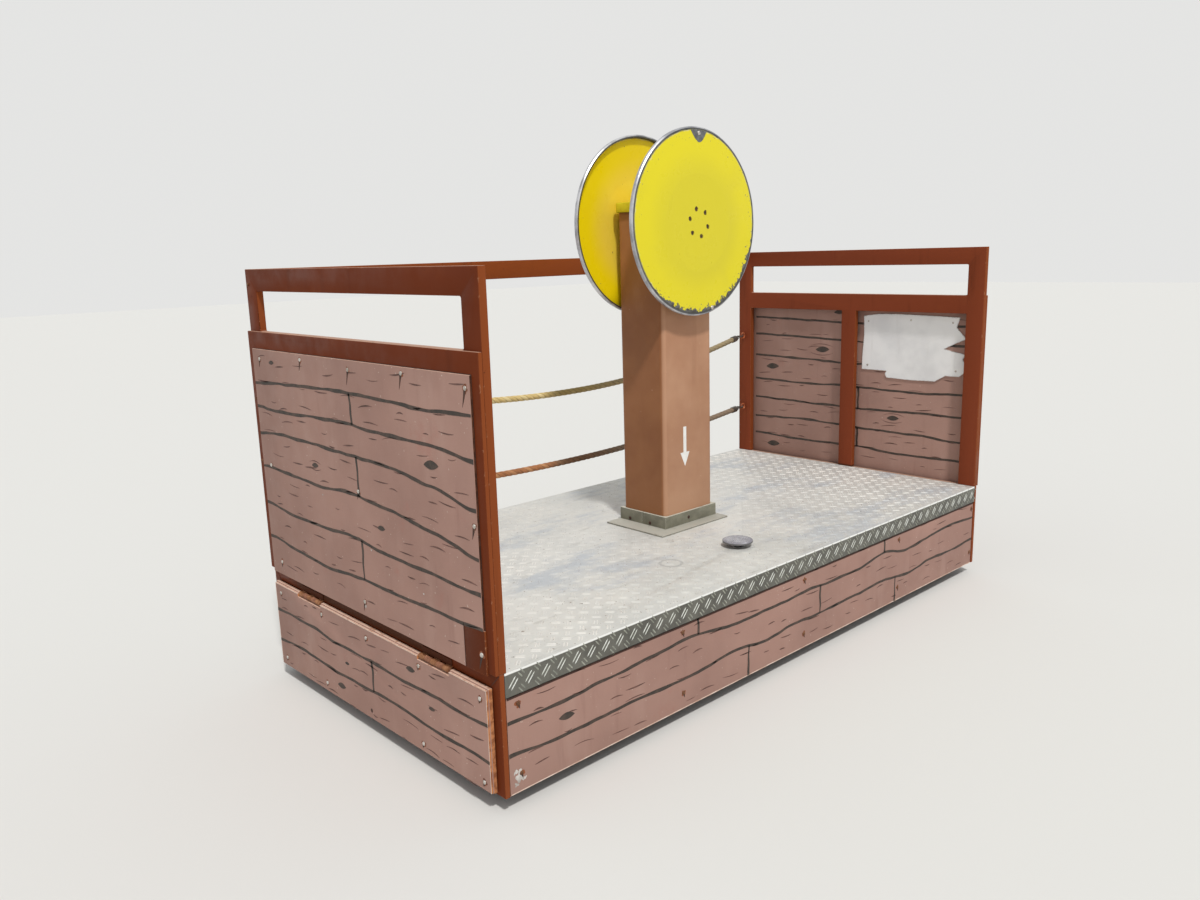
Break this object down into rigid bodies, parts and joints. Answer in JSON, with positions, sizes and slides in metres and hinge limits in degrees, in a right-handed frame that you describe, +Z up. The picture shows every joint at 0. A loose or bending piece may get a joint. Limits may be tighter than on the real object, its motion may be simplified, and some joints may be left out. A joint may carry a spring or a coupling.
{
  "type": "railway handcar",
  "caption": "Small rail handcar: open tread-plate platform between two boarded end frames, hand discs on a column driving an axle by chain, foot brake pedal.",
  "frame": {"origin": "middle of the footprint, at the lowest point of the wheel flanges", "axes": "+X along the track towards the end with the inner board in view, +Y across the track towards the roped side, +Z up"},
  "size_m": [2.536, 1.24, 1.7889],
  "materials": {
    "frame_paint": "satin red-brown paint",
    "column_paint": "satin light brown paint",
    "plank_board": "painted board with a plank pattern",
    "deck_aluminium": "worn tread plate",
    "disc_paint": "glossy yellow paint",
    "rim_metal": "bare worn metal",
    "zinc_steel": "weathered zinc",
    "rusty_steel": "rusted steel",
    "underframe_paint": "dull dark paint",
    "wheel_iron": "rusty with bright treads",
    "shaft_steel": "machined and greasy",
    "chain_steel": "oiled",
    "pedal_rubber": "worn",
    "rope_pale": "sun-bleached rope",
    "rope_brown": "orange-brown laid rope",
    "fitting_steel": "zinc plated"
  },
  "bodies": {
    "root": {"deck_plate": "deck_aluminium", "skirt_frame_left": "frame_paint", "skirt_frame_right": "frame_paint", "side_board_near": "plank_board", "side_board_far": "plank_board", "side_rails": "underframe_paint", "cross_members": "underframe_paint", "main_beams": "underframe_paint", "end_frame_left": "frame_paint", "end_frame_right": "frame_paint", "outer_frame_left": "frame_paint", "outer_frame_right": "frame_paint", "end_board_left": "plank_board", "end_board_right": "plank_board", "repair_patch": "frame_paint", "fixed_hinges": "rusty_steel", "column": "column_paint", "column_cap": "disc_paint", "column_base": "zinc_steel", "column_collar": "zinc_steel", "shaft_bearings": "underframe_paint", "column_chain": "chain_steel", "axle_chain": "chain_steel", "axle_boxes": "wheel_iron", "pedal_pad": "pedal_rubber", "brake_lever": "underframe_paint", "brake_rod": "shaft_steel", "brake_beam": "underframe_paint", "brake_shoes": "wheel_iron", "brake_brackets": "underframe_paint", "brake_spring": "shaft_steel", "far_rail": "frame_paint", "rope_upper": "rope_pale", "rope_lower": "rope_brown", "rope_fittings": "fitting_steel", "rope_eyes": "fitting_steel"},
    "flap_left": {"flap_left": "plank_board", "flap_hinges_left": "rusty_steel"},
    "flap_right": {"flap_right": "plank_board", "flap_hinges_right": "rusty_steel"},
    "hand_discs": {"disc_near": "disc_paint", "disc_far": "disc_paint", "disc_rims": "rim_metal", "disc_hubs": "zinc_steel", "hand_shaft": "shaft_steel", "hand_sprocket": "chain_steel"},
    "counter_shaft": {"counter_shaft": "shaft_steel", "counter_sprockets": "chain_steel"},
    "drive_axle": {"axle_drive": "shaft_steel", "wheels_drive": "wheel_iron", "axle_sprocket": "chain_steel"},
    "braked_axle": {"axle_braked": "shaft_steel", "wheels_braked": "wheel_iron"}
  },
  "joints": [
    {"name": "disc_spin", "type": "hinge", "parent": "root", "child": "hand_discs", "pos_m": [0.05, 0.01, 1.469], "axis": [0, 1, 0], "continuous": true},
    {"name": "counter_spin", "type": "hinge", "parent": "root", "child": "counter_shaft", "pos_m": [0.05, 0, 0.2879], "axis": [0, 1, 0], "continuous": true},
    {"name": "drive_axle_spin", "type": "hinge", "parent": "root", "child": "drive_axle", "pos_m": [-0.65, 0, 0.143], "axis": [0, 1, 0], "continuous": true},
    {"name": "braked_axle_spin", "type": "hinge", "parent": "root", "child": "braked_axle", "pos_m": [0.65, 0, 0.143], "axis": [0, 1, 0], "continuous": true},
    {"name": "flap_left_hinge", "type": "hinge", "parent": "root", "child": "flap_left", "pos_m": [-1.259, 0, 0.3325], "axis": [0, 1, 0], "range_deg": [0, 150]},
    {"name": "flap_right_hinge", "type": "hinge", "parent": "root", "child": "flap_right", "pos_m": [1.259, 0, 0.3325], "axis": [0, -1, 0], "range_deg": [0, 150]}
  ],
  "couplings": [
    {"joint": "counter_spin", "follows": "drive_axle_spin", "ratio": 1.4615},
    {"joint": "disc_spin", "follows": "drive_axle_spin", "ratio": 1.4615}
  ]
}
